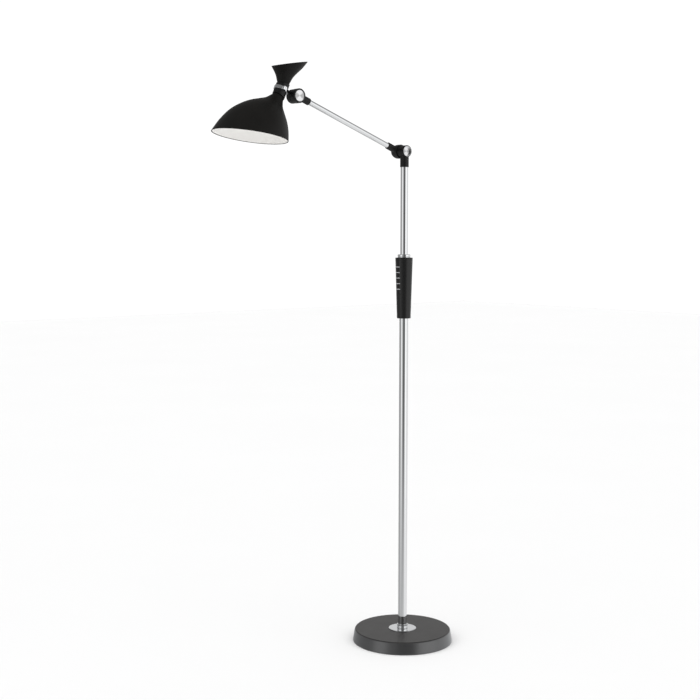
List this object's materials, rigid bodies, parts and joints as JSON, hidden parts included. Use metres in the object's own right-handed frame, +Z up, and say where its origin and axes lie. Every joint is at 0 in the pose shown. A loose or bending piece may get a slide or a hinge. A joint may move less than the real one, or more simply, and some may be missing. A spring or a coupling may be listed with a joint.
{
  "type": "adjustable arm floor lamp",
  "caption": "Floor lamp with a round weighted base, telescopic chrome pole with a touch-control grip, a tilting arm and a tilting bell shade with a flared top.",
  "frame": {"origin": "centre of the base pad where the lamp stands, on the axis of the pole", "axes": "+Z up the pole; the arm and the head reach towards -X; both tilting hinges turn about Y with their bright discs facing -Y"},
  "size_m": [0.6613, 0.254, 1.443],
  "materials": {
    "base_coat": "satin dark grey stove enamel, glossier on the side wall",
    "shade_paint": "satin black powder coat",
    "knuckle_black": "satin black paint on die-cast metal",
    "grip_plastic": "semi-gloss black moulded plastic",
    "panel_gloss": "gloss black touch film",
    "touch_light": "pale translucent light guide",
    "chrome": "polished chrome plate",
    "spun_chrome": "circularly brushed bright disc",
    "cast_iron": "raw cast iron",
    "steel": "zinc-plated steel",
    "rubber": "black rubber",
    "felt": "dark felt",
    "nylon": "natural nylon",
    "fibre": "pressed fibre friction disc",
    "board": "green solder mask",
    "white_paint": "matt white reflector paint",
    "lens": "opal diffuser",
    "aluminium": "plain aluminium",
    "cable": "black cable sheath"
  },
  "bodies": {
    "stand": {"base_shell": "base_coat", "base_pad": "felt", "base_bottom_plate": "steel", "base_weight": "cast_iron", "plate_screw_1": "steel", "plate_screw_2": "steel", "plate_screw_3": "steel", "cord_gland": "rubber", "nipple_washer": "steel", "nipple_nut": "steel", "threaded_nipple": "steel", "pole_flange": "chrome", "flange_boss": "chrome", "lower_pole": "chrome", "pole_plug": "steel", "supply_lead": "cable", "grip_body": "grip_plastic", "grip_top_cap": "grip_plastic", "touch_panel": "panel_gloss", "touch_bar_1": "touch_light", "touch_bar_2": "touch_light", "touch_bar_3": "touch_light", "touch_bar_4": "touch_light", "touch_bar_5": "touch_light", "control_board": "board", "grip_grub_screw": "steel", "clamp_collet": "nylon"},
    "collar": {"locking_collar": "chrome"},
    "glide": {"pole_glide": "nylon"},
    "mast": {"upper_pole": "chrome", "upper_lead": "cable", "elbow_pole_half": "knuckle_black", "elbow_disc_cap": "spun_chrome", "elbow_bolt": "steel", "elbow_friction_washer": "fibre"},
    "arm": {"elbow_arm_half": "knuckle_black", "elbow_spring_washer": "steel", "elbow_nut": "steel", "arm_tube": "chrome", "arm_lead": "cable", "head_arm_half": "knuckle_black", "head_disc_cap": "spun_chrome", "head_bolt": "steel", "head_friction_washer": "fibre"},
    "head": {"head_neck_half": "knuckle_black", "head_spring_washer": "steel", "head_nut": "steel", "neck_collar": "knuckle_black", "neck_band": "chrome", "band_block": "chrome", "neck_tube": "steel", "neck_nut": "steel", "stub_screw": "steel", "bell_shade": "shade_paint", "bell_reflector": "white_paint", "flare_shade": "shade_paint", "heat_sink": "aluminium", "led_board": "white_paint", "diffuser_lens": "lens", "retaining_ring": "white_paint"}
  },
  "joints": [
    {"name": "collar_twist", "type": "hinge", "parent": "stand", "child": "collar", "pos_m": [0, 0, 0.984], "axis": [0, 0, 1], "range_deg": [0, 90]},
    {"name": "pole_slide", "type": "slide", "parent": "stand", "child": "glide", "axis": [0, 0, 1], "range_m": [-0.178, 0.178]},
    {"name": "pole_swivel", "type": "hinge", "parent": "glide", "child": "mast", "pos_m": [0, 0, 0.985], "axis": [0, 0, 1], "range_deg": [-170, 170]},
    {"name": "elbow_tilt", "type": "hinge", "parent": "mast", "child": "arm", "pos_m": [0, 0, 1.2448], "axis": [0, 1, 0], "range_deg": [-60, 60]},
    {"name": "head_tilt", "type": "hinge", "parent": "arm", "child": "head", "pos_m": [-0.31663, 0, 1.36192], "axis": [0, 1, 0], "range_deg": [-60, 60]}
  ]
}
